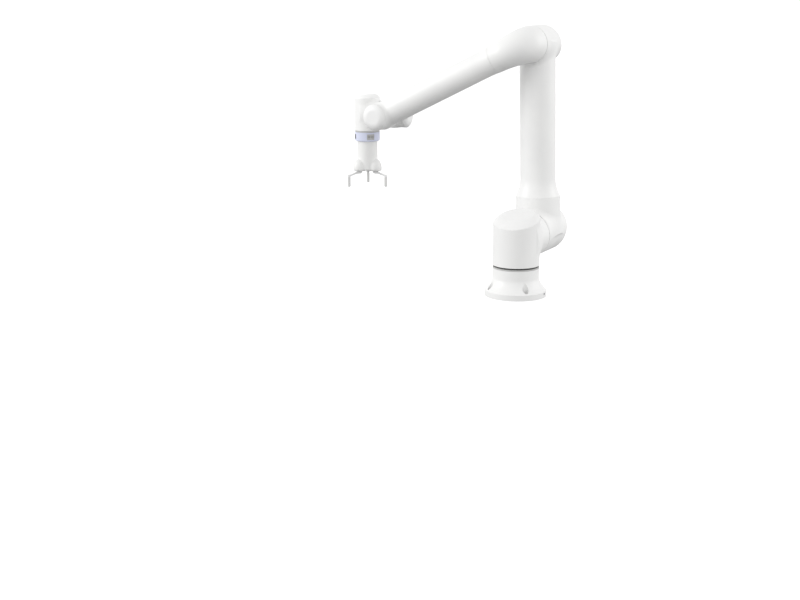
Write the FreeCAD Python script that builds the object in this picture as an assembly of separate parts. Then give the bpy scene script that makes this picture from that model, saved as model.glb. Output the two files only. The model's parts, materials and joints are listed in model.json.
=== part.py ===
import FreeCAD, Part
import math
import os

# Collaborative six-joint robot arm with a three-finger gripper.
# Millimetres. Origin at the centre of the base's underside, +Z up.
# At rest the upper arm stands almost upright and the forearm reaches towards -X.

V = FreeCAD.Vector
UP = V(0, 0, 1)
BACK = V(0, 1, 0)
RIGHT = V(1, 0, 0)

# ---- driving dimensions -------------------------------------------------------------------

BASE_RADIUS = 122.5            # foot of the base
BASE_RIM_HEIGHT = 25.0
BASE_NECK_RADIUS = 92.0
BASE_NECK_START = 72.0         # height where the flare meets the neck
BASE_BOLT_CIRCLE_RADIUS = 105.0
BASE_BOLT_RADIUS = 4.5         # clearance for M8
BASE_BOLT_CHANNEL_RADIUS = 12.0   # room for a socket spanner down the flare
BASE_BOLT_START_DEG = 45.0     # the first bolt, measured from +X

TURRET_RADIUS = 93.0
SHOULDER_HEIGHT = 222.0        # joint 2 axis above the underside
SHOULDER_RADIUS = 89.0         # casings on both sides of joint 2
UPPER_ARM_OFFSET = 223.0       # upper arm axis behind the joint 1 axis
UPPER_ARM_LENGTH = 752.0       # joint 2 axis to joint 3 axis
UPPER_ARM_LEAN_DEG = 1.55     # towards -X
UPPER_ARM_TUBE_RADIUS = 71.5

ELBOW_RADIUS = 73.0            # casings on both sides of joint 3
ELBOW_OFFSET = 157.0           # forearm axis in front of the upper arm axis
FOREARM_LENGTH = 691.0         # joint 3 axis to joint 4 axis
FOREARM_DROP_DEG = 25.9        # below horizontal
FOREARM_TUBE_RADIUS = 54.0

WRIST_RADIUS = 53.5            # casings on joints 4, 5 and 6
WRIST_OFFSET = 112.0           # wrist 1 axis behind the forearm axis
WRIST_REACH = 129.0            # joint 4 axis to joint 6 axis, along joint 5
TOOL_DROP = 117.0              # joint 5 axis down to the tool face

CASING_WALL = 5.0
JOINT_GAP = 0.4                # free gap between a seal ring and the casing that turns past it
RUNNING_GAP = 0.05             # radial clearance of a shaft in its bore

# joint seams: distance from the casing's own centre to the seam plane
BASE_SEAM_HEIGHT = 111.0
SHOULDER_SEAM = 129.5          # behind the joint 1 axis
ELBOW_SEAM = 74.0              # in front of the upper arm axis
WRIST_1_SEAM = 54.6            # behind the forearm axis
WRIST_2_SEAM = 60.0            # from the joint 4 axis, along joint 5
WRIST_3_SEAM = 73.0            # below the joint 5 axis

THICK_RING = 6.0               # visible ring at joints 1 and 6
THIN_RING = 2.6                # visible ring at the other joints

# distance from each casing's centre to the plane of its end cap
TURRET_CAP_FLAT = 95.0
SHOULDER_CAP_FLAT = 114.0
ELBOW_CAP_FLAT = 88.0
WRIST_CAP_FLAT = 78.0

# gripper
GRIPPER_BODY_RADIUS = 43.0
GRIPPER_LENGTH = 128.0         # tool face to the underside of the lobes
LOBE_CIRCLE_RADIUS = 38.0      # finger axes from the tool axis
LOBE_RADIUS = 28.0
FINGER_REACH = 52.0            # finger axis to fingertip axis
FINGERTIP_RADIUS = 6.6
FINGER_COUNT = 3
FINGERTIP_BOTTOM = 309.0       # below the joint 5 axis
FINGERTIP_TOP = 268.0
SUN_TEETH = 57
PINION_TEETH = 24


# ---- small helpers ------------------------------------------------------------------------

def save(shape, name):
    """Write one node; a node is one solid, or several solids when it groups fasteners."""
    shape.removeSplitter().exportStep("parts/" + name + ".step")


def placed(shape, centre, axis, side):
    """Turn a shape made round its own Z so that Z runs along axis and X along side."""
    z = V(axis).normalize()
    x = V(side).normalize()
    y = z.cross(x)
    matrix = FreeCAD.Matrix(
        x.x, y.x, z.x, centre.x,
        x.y, y.y, z.y, centre.y,
        x.z, y.z, z.z, centre.z,
        0, 0, 0, 1)
    moved = shape.copy()
    moved.Placement = FreeCAD.Placement(matrix).multiply(shape.Placement)
    return moved


def cylinder(radius, low, high, centre=V(0, 0, 0), direction=UP):
    return Part.makeCylinder(radius, high - low, centre + direction * low, direction)


def ring(outer, inner, low, high):
    return cylinder(outer, low, high).cut(cylinder(inner, low - 1, high + 1))


def turned(outline):
    """Revolve a closed outline of (radius, height) points round Z."""
    points = [V(radius, 0, height) for radius, height in outline]
    wire = Part.makePolygon(points + [points[0]])
    return Part.Face(wire).revolve(V(0, 0, 0), UP, 360)


def polar(radius, angle_deg, height=0.0):
    angle = math.radians(angle_deg)
    return V(radius * math.cos(angle), radius * math.sin(angle), height)


def tilted(shape, tilt_deg, height, shift=0.0):
    """Lean a flat shape by a tilt towards +X, then lift it to a height on Z."""
    leaned = shape.copy()
    leaned.rotate(V(0, 0, 0), V(0, 1, 0), tilt_deg)
    slope = math.tan(math.radians(tilt_deg))
    leaned.translate(V(shift, 0, height - shift * slope))
    return leaned


def bolt_spots(circle_radius, start_deg):
    """Four places evenly round a bolt circle."""
    return [polar(circle_radius, start_deg + 90 * index) for index in range(4)]


# ---- casings ------------------------------------------------------------------------------

class CapShape:
    """How far an end cap leans, and its bevel's proportions as shares of the casing radius."""

    def __init__(self, tilt_deg, bevel_drop, flat_radius, flat_shift):
        self.tilt_deg = tilt_deg
        self.bevel_drop = bevel_drop       # from the cap's flat to the bevel's foot
        self.flat_radius = flat_radius
        self.flat_shift = flat_shift       # of the flat towards the branch

    def rim_height(self, radius, flat_height):
        """Height on the casing's axis of the leaning plane where the cap sits."""
        return flat_height - self.bevel_drop * radius


ARM_CAP = CapShape(15.0, 0.19, 0.80, 0.11)
WRIST_CAP = CapShape(5.0, 0.30, 0.72, 0.05)
LIP_DEPTH = 5.0                # the cap's register lip inside the casing's rim
LIP_THICKNESS = 3.0


def trunk(radius, start, height, cap):
    """A cylinder on Z from start up to the leaning plane that crosses Z at height."""
    reach = 4 * radius
    body = cylinder(radius, start, height + radius)
    block = Part.makeBox(reach, reach, reach, V(-reach / 2, -reach / 2, 0))
    return body.cut(tilted(block, cap.tilt_deg, height))


def cap_solid(radius, height, flat_height, cap):
    """The bevelled end between the casing's leaning rim and its round flat."""
    slope = math.cos(math.radians(cap.tilt_deg))
    rim = Part.Ellipse(V(radius / slope, 0, 0), V(0, radius, 0), V(0, 0, 0))
    flat = Part.Circle(V(0, 0, 0), UP, cap.flat_radius * radius)
    rim_wire = tilted(Part.Wire(rim.toShape()), cap.tilt_deg, height)
    flat_wire = tilted(Part.Wire(flat.toShape()), cap.tilt_deg, flat_height,
                       -cap.flat_shift * radius)
    return Part.makeLoft([rim_wire, flat_wire], True, True)


def end_cap(radius, flat_height, cap):
    """A hollow end cover with a register lip that sits inside the casing's rim."""
    rim_height = cap.rim_height(radius, flat_height)
    inner = radius - CASING_WALL
    skin = cap_solid(radius, rim_height, flat_height, cap)
    room = cap_solid(inner - LIP_THICKNESS, rim_height - 1, flat_height - CASING_WALL, cap)
    lip = trunk(inner, rim_height - radius, rim_height + 1, cap)
    lip = lip.cut(trunk(inner, rim_height - radius - 1, rim_height - LIP_DEPTH, cap))
    lip = lip.cut(cylinder(inner - LIP_THICKNESS, rim_height - 2 * radius, rim_height + radius))
    return skin.cut(room).fuse(lip)


def elbow_body(radius, start, rim_height, branch_radius, branch_length, cap):
    """Trunk on Z plus a side branch towards -X, both closed solids."""
    branch = cylinder(branch_radius, 0, branch_length, direction=V(-1, 0, 0))
    return trunk(radius, start, rim_height, cap).fuse(branch)


def elbow_casing(radius, start, flat_height, branch_radius, branch_length, cap):
    """A hollow casing: open at its leaning rim, at its branch and at its seam."""
    rim_height = cap.rim_height(radius, flat_height)
    outer = elbow_body(radius, start, rim_height, branch_radius, branch_length, cap)
    inner = elbow_body(radius - CASING_WALL, start - 1, rim_height + radius,
                       branch_radius - CASING_WALL, branch_length + 1, cap)
    return outer.cut(inner)


# ---- joints -------------------------------------------------------------------------------
# A joint is drawn round local Z. Z = 0 is the seam: the fixed casing is below, the turning
# casing is above the ring.

REDUCER_RADIUS = 0.74          # all of the joint radius
REDUCER_DEPTH = 0.52
MOTOR_RADIUS = 0.60
MOTOR_DEPTH = 0.50
BORE_RADIUS = 0.32
SHAFT_BORE_RADIUS = 0.20
FLANGE_RADIUS = 0.70
FLANGE_BACK = 3.0              # how far the output flange stands behind the seam
LAND_THICKNESS = 6.0           # web that the reducer, or the output flange, is bolted to
LAND_DEPTH = 16.0              # from the seam down to the reducer's web
RING_INSET = 1.5               # a seal ring is this much slimmer than its casing
RING_CLEARANCE = 2.0           # between a seal ring and the output flange inside it
GROOVE_DEPTH = 2.0             # O-ring groove round the reducer
GROOVE_WIDTH = 3.0
HUB_DEPTH = 0.3                # of the joint radius: how far the flange's hub runs in the reducer
MOTOR_STEP_RADIUS = 0.5        # of the joint radius: the brake end of the motor can
MOTOR_STEP_DEPTH = 0.12
FLANGE_SCREW_CIRCLE = 0.55     # of the joint radius
FLANGE_SCREW_RADIUS = 2.6
FLANGE_SCREW_COUNT = 8


def joint_height(ring_height):
    """Height of the turning casing's edge above the seam."""
    return ring_height + JOINT_GAP


def fixed_land(radius):
    """Web inside the fixed casing that carries the reducer."""
    return ring(radius - CASING_WALL, REDUCER_RADIUS * radius, -LAND_DEPTH, LAND_THICKNESS - LAND_DEPTH)


def turning_land(radius, ring_height):
    """Web inside the turning casing that the output flange is bolted to."""
    low = joint_height(ring_height)
    return ring(radius - CASING_WALL, BORE_RADIUS * radius, low, low + LAND_THICKNESS)


def seal_ring(radius, ring_height):
    return ring(radius - RING_INSET, FLANGE_RADIUS * radius + RING_CLEARANCE, 0, ring_height)


def reducer(radius):
    """Strain-wave gearbox with its own output bearing."""
    front = -FLANGE_BACK - JOINT_GAP
    back = front - REDUCER_DEPTH * radius
    body = ring(REDUCER_RADIUS * radius, BORE_RADIUS * radius, back, front)
    groove_low = front - REDUCER_DEPTH * radius / 2
    groove = ring(radius, REDUCER_RADIUS * radius - GROOVE_DEPTH, groove_low, groove_low + GROOVE_WIDTH)
    return body.cut(groove)


def motor(radius):
    """Frameless motor with its brake, in one sealed can behind the reducer."""
    front = -FLANGE_BACK - JOINT_GAP - REDUCER_DEPTH * radius
    back = front - MOTOR_DEPTH * radius
    can = ring(MOTOR_RADIUS * radius, SHAFT_BORE_RADIUS * radius, back, front)
    step = ring(radius, MOTOR_STEP_RADIUS * radius, back - 1, back + MOTOR_STEP_DEPTH * radius)
    return can.cut(step)


def output_flange(radius, ring_height):
    """Disc bolted to the turning casing, with a hollow hub that runs in the reducer."""
    top = joint_height(ring_height)
    bore = SHAFT_BORE_RADIUS * radius
    disc = ring(FLANGE_RADIUS * radius, bore, -FLANGE_BACK, top)
    hub_back = -FLANGE_BACK - JOINT_GAP - HUB_DEPTH * radius
    hub = ring(BORE_RADIUS * radius - RUNNING_GAP, bore, hub_back, -FLANGE_BACK + 1)
    body = disc.fuse(hub)
    for index in range(FLANGE_SCREW_COUNT):
        seat = polar(FLANGE_SCREW_CIRCLE * radius, index * 360 / FLANGE_SCREW_COUNT)
        body = body.cut(cylinder(FLANGE_SCREW_RADIUS, -FLANGE_BACK - 1, top + 1, seat))
    return body


def joint_nodes(name, radius, ring_height, centre, axis, side):
    save(placed(seal_ring(radius, ring_height), centre, axis, side), name + "_seal_ring")
    save(placed(reducer(radius), centre, axis, side), name + "_reducer")
    save(placed(motor(radius), centre, axis, side), name + "_motor")
    save(placed(output_flange(radius, ring_height), centre, axis, side), name + "_output_flange")


# ---- places worked out from the driving dimensions ----------------------------------------

lean = math.radians(UPPER_ARM_LEAN_DEG)
drop = math.radians(FOREARM_DROP_DEG)
ARM_DIRECTION = V(-math.sin(lean), 0, math.cos(lean))
ARM_SIDE = V(math.cos(lean), 0, math.sin(lean))
FOREARM_DIRECTION = V(-math.cos(drop), 0, -math.sin(drop))

SHOULDER = V(0, 0, SHOULDER_HEIGHT)
ARM_FOOT = SHOULDER + BACK * UPPER_ARM_OFFSET
ARM_TOP = ARM_FOOT + ARM_DIRECTION * UPPER_ARM_LENGTH
FOREARM_ROOT = ARM_TOP - BACK * ELBOW_OFFSET
FOREARM_END = FOREARM_ROOT + FOREARM_DIRECTION * FOREARM_LENGTH
WRIST_1 = FOREARM_END + BACK * WRIST_OFFSET
WRIST_2 = WRIST_1 - RIGHT * WRIST_REACH
TOOL_FACE = WRIST_2 - UP * TOOL_DROP

BASE_SEAM_CENTRE = V(0, 0, BASE_SEAM_HEIGHT)
SHOULDER_SEAM_CENTRE = SHOULDER + BACK * SHOULDER_SEAM
ELBOW_SEAM_CENTRE = ARM_TOP - BACK * ELBOW_SEAM
WRIST_1_SEAM_CENTRE = FOREARM_END + BACK * WRIST_1_SEAM
WRIST_2_SEAM_CENTRE = WRIST_1 - RIGHT * WRIST_2_SEAM
WRIST_3_SEAM_CENTRE = WRIST_2 - UP * WRIST_3_SEAM


# ---- base ---------------------------------------------------------------------------------

BASE_FLOOR = 6.0
CONNECTOR_HEIGHT = 72.0        # socket axis above the underside
CONNECTOR_RADIUS = 17.0
CONNECTOR_LENGTH = 16.0        # stands out this far from the neck
CONNECTOR_SEAT = 2.0           # depth of the flat it sits on
CONNECTOR_SPIGOT_RADIUS = 13.8
CONNECTOR_BORE_RADIUS = 13.0
THREAD_DEPTH = 1.0             # grooves that stand for the collar's thread
THREAD_PITCH = 3.2
PIN_RADIUS = 1.3
PIN_CIRCLE_RADIUS = 8.0
RIM_EDGE = 3.0                 # rounding on the foot's upper edge
FLARE_POWER = 1.6              # how fast the flare closes on the neck
SEAT_DEPTH = 9.0               # the bolt heads sit this far below the foot's upper face
EARTH_SCREW_HEIGHT = 16.0
EARTH_SCREW_RADIUS = 2.5
DRAIN_NOTCH_RADIUS = 3.0       # notch under the foot's edge


def flare_points(steps=14):
    """Flare from the top of the foot up to the neck."""
    width = BASE_RADIUS - RIM_EDGE - BASE_NECK_RADIUS
    height = BASE_NECK_START - BASE_RIM_HEIGHT
    points = []
    for index in range(steps + 1):
        part = index / steps
        radius = BASE_NECK_RADIUS + width * (1 - part) ** FLARE_POWER
        points.append((radius, BASE_RIM_HEIGHT + height * part))
    return points


def base_outline_arcs():
    """The base's outer wall as a face: foot, rounded rim, curved flare, neck."""
    foot = BASE_RADIUS
    rim_top = BASE_RIM_HEIGHT
    corner = V(foot, 0, rim_top - RIM_EDGE)
    rim_in = V(foot - RIM_EDGE, 0, rim_top)
    middle = V(foot - RIM_EDGE * (1 - math.sqrt(0.5)), 0, rim_top - RIM_EDGE * (1 - math.sqrt(0.5)))
    flare = [V(radius, 0, height) for radius, height in flare_points()]
    curve = Part.BSplineCurve()
    curve.interpolate(flare)
    neck_top = V(BASE_NECK_RADIUS, 0, BASE_SEAM_HEIGHT)
    edges = [
        Part.makeLine(V(0, 0, 0), V(foot, 0, 0)),
        Part.makeLine(V(foot, 0, 0), corner),
        Part.Arc(corner, middle, rim_in).toShape(),
        curve.toShape(),
        Part.makeLine(flare[-1], neck_top),
        Part.makeLine(neck_top, V(0, 0, BASE_SEAM_HEIGHT)),
        Part.makeLine(V(0, 0, BASE_SEAM_HEIGHT), V(0, 0, 0)),
    ]
    return Part.Face(Part.Wire(edges))


def base_housing():
    body = base_outline_arcs().revolve(V(0, 0, 0), UP, 360)
    inner = BASE_NECK_RADIUS - CASING_WALL
    body = body.cut(cylinder(inner, BASE_FLOOR, BASE_SEAM_HEIGHT + 1))
    land = fixed_land(TURRET_RADIUS)
    land.translate(BASE_SEAM_CENTRE)
    body = body.fuse(land.common(cylinder(inner, 0, BASE_SEAM_HEIGHT)))
    for spot in bolt_spots(BASE_BOLT_CIRCLE_RADIUS, BASE_BOLT_START_DEG):
        seat = BASE_RIM_HEIGHT - SEAT_DEPTH
        body = body.cut(cylinder(BASE_BOLT_RADIUS, -1, seat + 1, spot))
        body = body.cut(cylinder(BASE_BOLT_CHANNEL_RADIUS, seat, BASE_SEAM_HEIGHT, spot))
    inlet = V(0, 0, CONNECTOR_HEIGHT)
    body = body.cut(cylinder(CONNECTOR_SPIGOT_RADIUS + 0.2, 0, BASE_RADIUS, inlet, BACK))
    seat_face = BASE_NECK_RADIUS - CONNECTOR_SEAT
    body = body.cut(cylinder(CONNECTOR_RADIUS, seat_face, BASE_RADIUS, inlet, BACK))
    screw_seat = V(0, 0, EARTH_SCREW_HEIGHT)
    body = body.cut(cylinder(EARTH_SCREW_RADIUS, BASE_RADIUS - 14, BASE_RADIUS + 1, screw_seat, RIGHT))
    notch = cylinder(DRAIN_NOTCH_RADIUS, BASE_RADIUS - 6, BASE_RADIUS + 1, direction=RIGHT)
    return body.cut(notch)


def base_connector():
    """Round cable inlet on the back of the base, with a grooved collar and seven pins."""
    seat = BASE_NECK_RADIUS - CONNECTOR_SEAT
    face = BASE_NECK_RADIUS + CONNECTOR_LENGTH
    floor = face - 11
    shell = cylinder(CONNECTOR_RADIUS, seat, face)
    shell = shell.fuse(cylinder(CONNECTOR_SPIGOT_RADIUS, seat - 7, seat + 2))
    shell = shell.cut(cylinder(CONNECTOR_BORE_RADIUS, floor, face + 1))
    for index in range(3):
        low = face - 3.5 - index * THREAD_PITCH
        groove = ring(CONNECTOR_RADIUS + 1, CONNECTOR_RADIUS - THREAD_DEPTH, low, low + THREAD_PITCH / 2)
        shell = shell.cut(groove)
    pins = [V(0, 0, 0)] + [polar(PIN_CIRCLE_RADIUS, 60 * index) for index in range(6)]
    for pin in pins:
        shell = shell.fuse(cylinder(PIN_RADIUS, floor - 1, face - 3, pin))
    return placed(shell, V(0, 0, CONNECTOR_HEIGHT), BACK, RIGHT)


def earth_screw():
    """Hexagon-socket screw with a washer edge, on the side of the foot."""
    face = BASE_RADIUS
    head = cylinder(4.2, face, face + 2.5)
    head = head.cut(ring(6, 3.4, face + 2, face + 3))
    shank = cylinder(EARTH_SCREW_RADIUS - 0.1, face - 12, face + 1)
    socket = Part.Face(Part.makePolygon([polar(2.0, 60 * index) for index in range(7)]))
    socket = socket.extrude(UP * 4)
    socket.translate(UP * (face + 0.8))
    return placed(head.fuse(shank).cut(socket), V(0, 0, EARTH_SCREW_HEIGHT), RIGHT, BACK)


# ---- arm casings --------------------------------------------------------------------------

ARM_SPLIT = 143.0              # fixed seam on the upper arm, from the joint 2 axis
ARM_FLARE_END = 218.0
ARM_SPLIT_RADIUS = 90.0
FOREARM_SPLIT = 127.0          # fixed seam on the forearm, from the joint 3 axis
FOREARM_SPLIT_RADIUS = 58.0
FOREARM_FLARE_END = 185.0
SPLIT_STEP = 1.2               # the arm link is this much slimmer than the casing at the seam
SPLIT_LAND = 4.0               # straight stretch above the seam, before the flare closes
SPIGOT = 8.0                   # the arm link plugs this deep into the casing
SPIGOT_WALL = 4.0


def shoulder_casing():
    start = BASE_SEAM_HEIGHT + joint_height(THICK_RING) - SHOULDER_HEIGHT
    body = elbow_casing(TURRET_RADIUS, start, TURRET_CAP_FLAT, SHOULDER_RADIUS, SHOULDER_SEAM, ARM_CAP)
    body = placed(body, SHOULDER, UP, -BACK)
    turning = placed(turning_land(TURRET_RADIUS, THICK_RING), BASE_SEAM_CENTRE, UP, RIGHT)
    fixed = placed(fixed_land(SHOULDER_RADIUS), SHOULDER_SEAM_CENTRE, BACK, RIGHT)
    return body.fuse([turning, fixed])


def upper_arm_foot_casing():
    start = SHOULDER_SEAM + joint_height(THIN_RING) - UPPER_ARM_OFFSET
    body = elbow_casing(SHOULDER_RADIUS, start, SHOULDER_CAP_FLAT, ARM_SPLIT_RADIUS, ARM_SPLIT,
                        ARM_CAP)
    body = placed(body, ARM_FOOT, BACK, -ARM_DIRECTION)
    land = placed(turning_land(SHOULDER_RADIUS, THIN_RING), SHOULDER_SEAM_CENTRE, BACK, RIGHT)
    return body.fuse(land)


def link_tube(split, split_radius, flare_end, tube_radius, end, shrink):
    """Turned link: a spigot, a curved flare and a straight tube, along local Z."""
    top = split_radius - SPLIT_STEP - shrink
    tube = tube_radius - shrink
    outline = [(0, split), (top, split)]
    start = split + SPLIT_LAND
    steps = 14
    for index in range(steps + 1):
        part = index / steps
        outline.append((tube + (top - tube) * (1 - part) ** 2, start + (flare_end - start) * part))
    outline += [(tube, end), (0, end)]
    return turned(outline)


def link_shell(split, split_radius, flare_end, tube_radius, end):
    outer = link_tube(split, split_radius, flare_end, tube_radius, end, 0)
    inner = link_tube(split, split_radius, flare_end, tube_radius, end, CASING_WALL)
    spigot_radius = split_radius - CASING_WALL
    spigot = ring(spigot_radius, spigot_radius - SPIGOT_WALL, split - SPIGOT, split + SPLIT_LAND - 1)
    return outer, inner, spigot


def casting(tube_parts, radius, seam, cap_flat, cap, centre, axis, lean_side):
    """A link's tube and the joint trunk at its far end, hollowed in one."""
    outer, inner, spigot = tube_parts
    rim_height = cap.rim_height(radius, cap_flat)
    solid = placed(trunk(radius, -seam, rim_height, cap), centre, axis, lean_side)
    room = trunk(radius - CASING_WALL, -seam - 1, rim_height + radius, cap)
    room = placed(room, centre, axis, lean_side)
    return outer.fuse(solid).cut(inner).cut(room).fuse(spigot)


def upper_arm_link():
    """Flare, tube and joint 3 casing in one casting."""
    parts = link_shell(ARM_SPLIT, ARM_SPLIT_RADIUS, ARM_FLARE_END, UPPER_ARM_TUBE_RADIUS,
                       UPPER_ARM_LENGTH)
    tube = [placed(part, ARM_FOOT, ARM_DIRECTION, ARM_SIDE) for part in parts]
    body = casting(tube, ELBOW_RADIUS, ELBOW_SEAM, ELBOW_CAP_FLAT, ARM_CAP, ARM_TOP, BACK,
                   ARM_DIRECTION)
    land = placed(fixed_land(ELBOW_RADIUS), ELBOW_SEAM_CENTRE, -BACK, RIGHT)
    return body.fuse(land)


def bend_circle(centre, heading, radius):
    across = BACK.cross(FOREARM_DIRECTION)
    circle = Part.Wire(Part.Circle(V(0, 0, 0), UP, radius).toShape())
    return placed(circle, centre, heading, across)


def bend_blend(travelled, whole):
    """Radius of the elbow casing after travelling part of the way along its centre line."""
    blend = 0.5 - 0.5 * math.cos(math.pi * travelled / whole)
    return ELBOW_RADIUS + (FOREARM_SPLIT_RADIUS - ELBOW_RADIUS) * blend


def elbow_bend(shrink):
    """Solid swept round from the joint 3 axis to the forearm axis, slimming as it goes."""
    start = ELBOW_SEAM + joint_height(THIN_RING)
    bend_radius = ELBOW_OFFSET - start
    arc = bend_radius * math.pi / 2
    straight = FOREARM_SPLIT - bend_radius
    pivot = ARM_TOP - BACK * start + FOREARM_DIRECTION * bend_radius
    wires = []
    steps = 8
    for index in range(steps + 1):
        angle = math.pi / 2 * index / steps
        centre = pivot - FOREARM_DIRECTION * (bend_radius * math.cos(angle))
        centre = centre - BACK * (bend_radius * math.sin(angle))
        heading = FOREARM_DIRECTION * math.sin(angle) - BACK * math.cos(angle)
        radius = bend_blend(arc * index / steps, arc + straight)
        wires.append(bend_circle(centre, heading, radius - shrink))
    bend = Part.makeLoft(wires, True, False)
    outline = [(0, 0)]
    for index in range(steps + 1):
        travelled = straight * index / steps
        outline.append((bend_blend(arc + travelled, arc + straight) - shrink, travelled))
    outline.append((0, straight))
    run = placed(turned(outline), pivot - BACK * bend_radius, FOREARM_DIRECTION, BACK)
    return bend.fuse(run)


def forearm_elbow_casing():
    body = elbow_bend(0).cut(elbow_bend(CASING_WALL))
    open_end = cylinder(FOREARM_SPLIT_RADIUS - CASING_WALL, FOREARM_SPLIT - SPIGOT - 1,
                        FOREARM_SPLIT + 1, FOREARM_ROOT, FOREARM_DIRECTION)
    body = body.cut(open_end)
    land = placed(turning_land(ELBOW_RADIUS, THIN_RING), ELBOW_SEAM_CENTRE, -BACK, RIGHT)
    return body.fuse(land)


def forearm_link():
    """Flare, tube and joint 4 casing in one casting."""
    parts = link_shell(FOREARM_SPLIT, FOREARM_SPLIT_RADIUS, FOREARM_FLARE_END, FOREARM_TUBE_RADIUS,
                       FOREARM_LENGTH)
    across = FOREARM_DIRECTION.cross(BACK)
    tube = [placed(part, FOREARM_ROOT, FOREARM_DIRECTION, across) for part in parts]
    body = casting(tube, WRIST_RADIUS, WRIST_1_SEAM, WRIST_CAP_FLAT, WRIST_CAP, FOREARM_END, -BACK,
                   FOREARM_DIRECTION)
    land = placed(fixed_land(WRIST_RADIUS), WRIST_1_SEAM_CENTRE, BACK, RIGHT)
    return body.fuse(land)


def wrist_1_casing():
    branch = WRIST_OFFSET - WRIST_1_SEAM - joint_height(THIN_RING)
    body = elbow_casing(WRIST_RADIUS, -WRIST_2_SEAM, WRIST_CAP_FLAT, WRIST_RADIUS, branch, WRIST_CAP)
    body = placed(body, WRIST_1, RIGHT, BACK)
    turning = placed(turning_land(WRIST_RADIUS, THIN_RING), WRIST_1_SEAM_CENTRE, BACK, RIGHT)
    fixed = placed(fixed_land(WRIST_RADIUS), WRIST_2_SEAM_CENTRE, -RIGHT, BACK)
    return body.fuse([turning, fixed])


def wrist_2_casing():
    branch = WRIST_REACH - WRIST_2_SEAM - joint_height(THIN_RING)
    body = elbow_casing(WRIST_RADIUS, -WRIST_3_SEAM, WRIST_CAP_FLAT, WRIST_RADIUS, branch, WRIST_CAP)
    body = placed(body, WRIST_2, UP, -RIGHT)
    turning = placed(turning_land(WRIST_RADIUS, THIN_RING), WRIST_2_SEAM_CENTRE, -RIGHT, BACK)
    fixed = placed(fixed_land(WRIST_RADIUS), WRIST_3_SEAM_CENTRE, -UP, RIGHT)
    return body.fuse([turning, fixed])


# ---- tool flange --------------------------------------------------------------------------

TOOL_RING_RADIUS = 53.0
TOOL_BOLT_CIRCLE_RADIUS = 25.0
TOOL_BOLT_RADIUS = 3.3
TOOL_BOLT_START_DEG = 45.0
PANEL_WIDTH = 32.0
PANEL_HEIGHT = 24.0
PANEL_AZIMUTH = -45.0          # measured from +X, so it faces front right
BUTTON_AZIMUTH = -135.0
BUTTON_WIDTH = 14.0
BUTTON_HEIGHT = 20.0
WINDOW_DEPTH = 10.0            # of the two openings in the tool ring
TOOL_EDGE = 4.0                # bevel round the tool face
CAVITY_OUTER_INSET = 8.0       # hollow inside the ring, round a solid core
CAVITY_CORE_RADIUS = 32.0
PANEL_RECESS = 3.5
SOCKET_SPACING = 7.5           # each socket from the panel's middle
SOCKET_RADIUS = 5.0
SOCKET_PIN_RADIUS = 2.6
BUTTON_GAP = 0.3
BUTTON_PROUD = 0.6


def radial_block(azimuth, inner, outer, width, height, centre_height):
    """A block across the tool ring's wall, below the joint 5 axis."""
    block = Part.makeBox(outer - inner, width, height, V(inner, -width / 2, -height / 2))
    block.rotate(V(0, 0, 0), UP, azimuth)
    block.translate(WRIST_2 - UP * centre_height)
    return block


def tool_ring_middle():
    low = WRIST_3_SEAM + joint_height(THICK_RING)
    return (low + TOOL_DROP) / 2


def tool_window(azimuth, width, height):
    return radial_block(azimuth, TOOL_RING_RADIUS - WINDOW_DEPTH, TOOL_RING_RADIUS + 2, width, height,
                        tool_ring_middle())


def tool_flange():
    """Hollow ring below joint 6, with the bolt face, the socket window and the button's opening."""
    low = joint_height(THICK_RING)
    high = TOOL_DROP - WRIST_3_SEAM
    edge = TOOL_EDGE
    outline = [
        (0, low), (TOOL_RING_RADIUS, low), (TOOL_RING_RADIUS, high - edge),
        (TOOL_RING_RADIUS - edge * 0.3, high - edge * 0.3), (TOOL_RING_RADIUS - edge, high),
        (0, high)]
    body = turned(outline)
    body = body.cut(ring(TOOL_RING_RADIUS - CAVITY_OUTER_INSET, CAVITY_CORE_RADIUS,
                         low + LAND_THICKNESS, high - LAND_THICKNESS))
    body = body.cut(cylinder(BORE_RADIUS * WRIST_RADIUS, low - 1, high - 8))
    for spot in bolt_spots(TOOL_BOLT_CIRCLE_RADIUS, TOOL_BOLT_START_DEG):
        body = body.cut(cylinder(TOOL_BOLT_RADIUS, high - 14, high + 1, spot))
    body = placed(body, WRIST_3_SEAM_CENTRE, -UP, RIGHT)
    body = body.cut(tool_window(PANEL_AZIMUTH, PANEL_WIDTH, PANEL_HEIGHT))
    return body.cut(tool_window(BUTTON_AZIMUTH, BUTTON_WIDTH, BUTTON_HEIGHT))


def tool_panel():
    """Recessed plate with two sockets, filling the window in the tool ring."""
    middle = tool_ring_middle()
    back = TOOL_RING_RADIUS - WINDOW_DEPTH
    face = TOOL_RING_RADIUS - PANEL_RECESS
    plate = radial_block(PANEL_AZIMUTH, back, face, PANEL_WIDTH, PANEL_HEIGHT, middle)
    direction = polar(1, PANEL_AZIMUTH)
    sideways = polar(1, PANEL_AZIMUTH + 90)
    for side in (-1, 1):
        centre = WRIST_2 - UP * middle + sideways * (SOCKET_SPACING * side)
        plate = plate.cut(cylinder(SOCKET_RADIUS, back + 3, face + 1, centre, direction))
        plate = plate.fuse(cylinder(SOCKET_PIN_RADIUS, back + 2, face - 0.5, centre, direction))
    return plate


def free_drive_button():
    """Push button with a curved face that follows the tool ring."""
    inner = TOOL_RING_RADIUS - WINDOW_DEPTH + 3
    body = radial_block(BUTTON_AZIMUTH, inner, TOOL_RING_RADIUS + 3, BUTTON_WIDTH - 2 * BUTTON_GAP,
                        BUTTON_HEIGHT - 2 * BUTTON_GAP, tool_ring_middle())
    reach = 2 * TOOL_DROP
    return body.common(cylinder(TOOL_RING_RADIUS + BUTTON_PROUD, -reach, reach, WRIST_2))


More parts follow.
